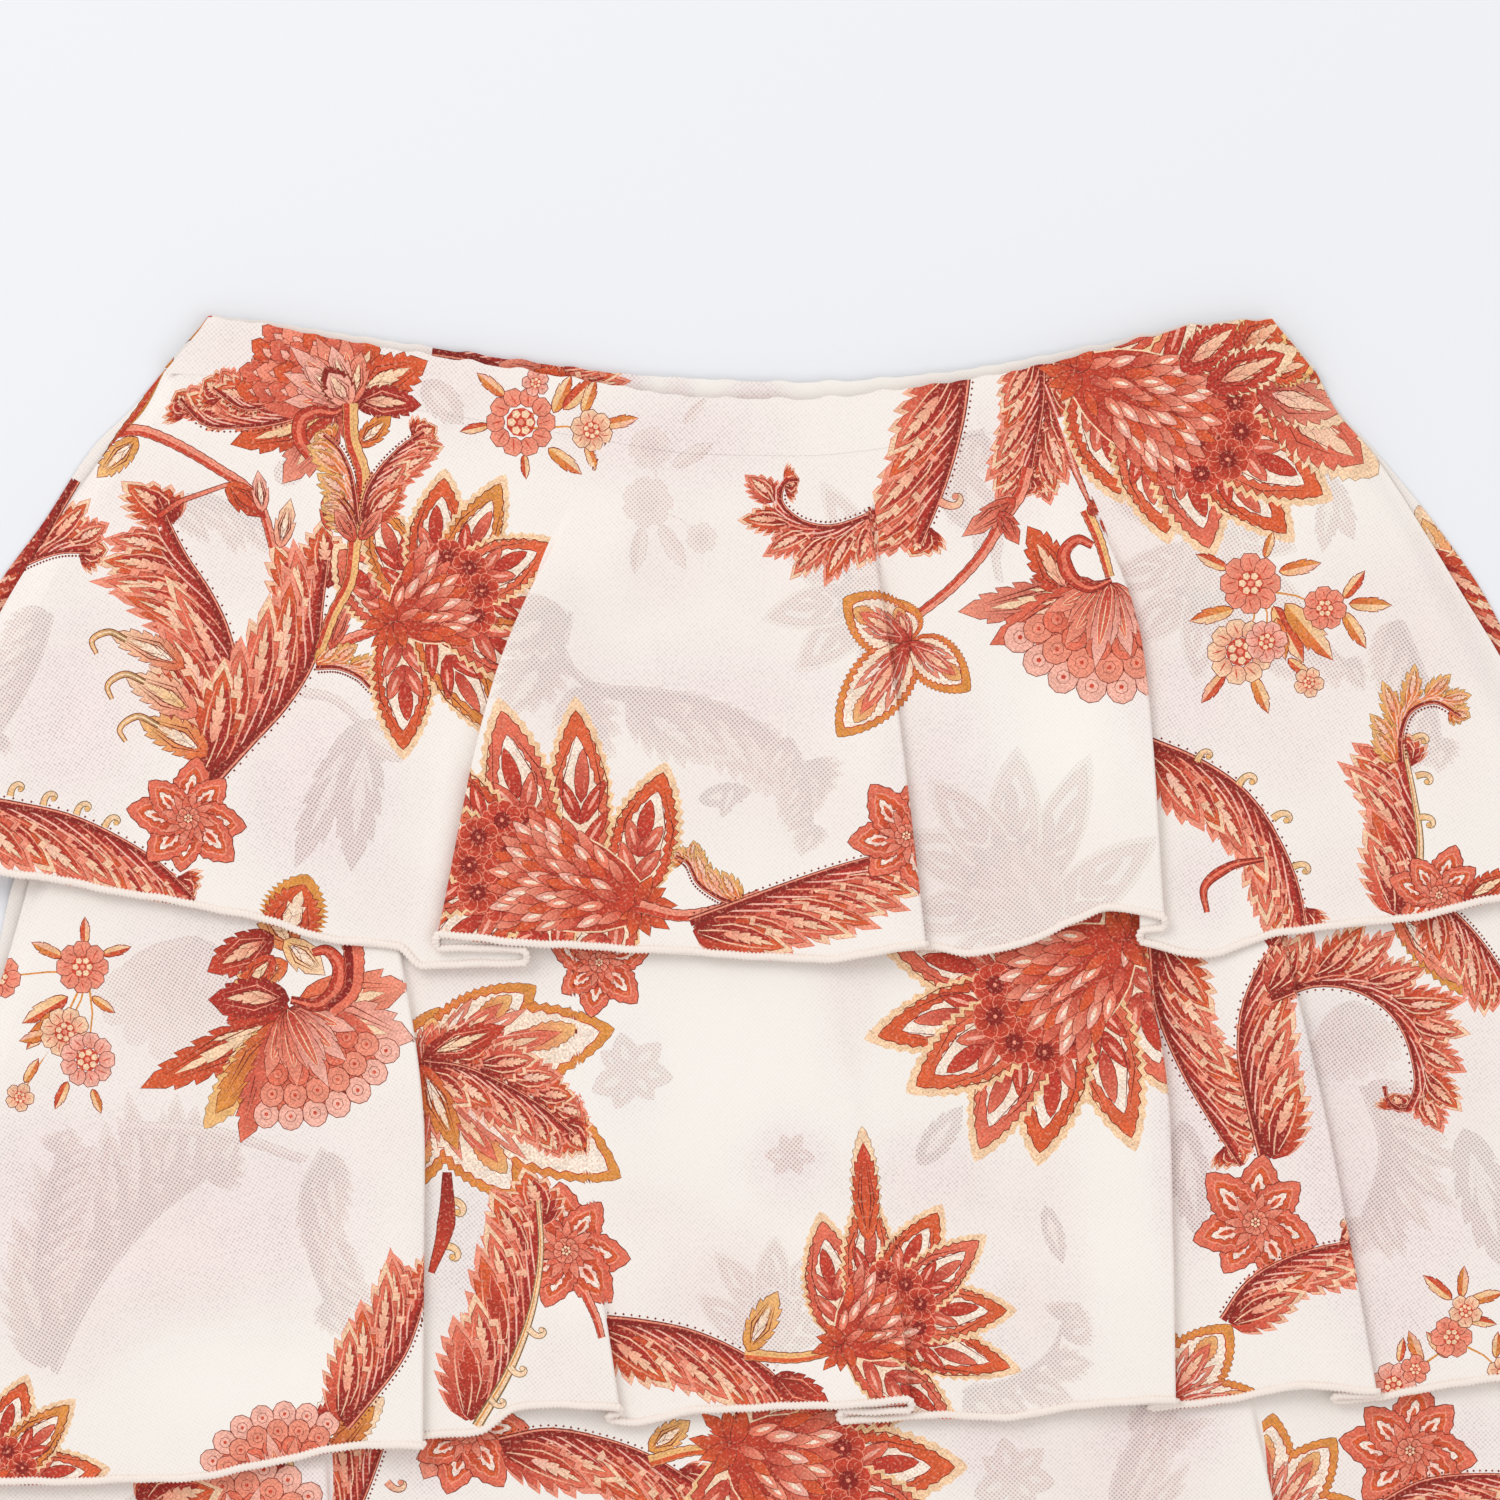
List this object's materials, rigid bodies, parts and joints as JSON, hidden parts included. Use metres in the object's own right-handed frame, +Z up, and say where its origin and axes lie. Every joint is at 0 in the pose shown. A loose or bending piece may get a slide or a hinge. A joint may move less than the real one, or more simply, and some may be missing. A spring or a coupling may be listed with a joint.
{
  "type": "tiered ruffle skirt",
  "caption": "Short skirt in tiered ruffles of fine floral-printed net with an elastic waist, laid flat on its back.",
  "frame": {"origin": "centre of the bounding box's underside, on the surface the skirt lies on", "axes": "+X across the skirt to the viewer's right as it is seen from above, +Y towards the waist, +Z up off the surface"},
  "size_m": [0.668, 0.5152, 0.0138],
  "materials": {
    "casing": "matt printed net, doubled over an elastic",
    "base": "matt printed net",
    "tiers": "matt printed net with overlocked hems"
  },
  "bodies": {
    "root": {"casing_front": "casing", "casing_back": "casing", "base_front": "base", "base_back": "base", "tier_1_front": "tiers", "tier_1_back": "tiers", "tier_2_front": "tiers", "tier_2_back": "tiers", "tier_3_front": "tiers", "tier_3_back": "tiers"}
  },
  "joints": []
}
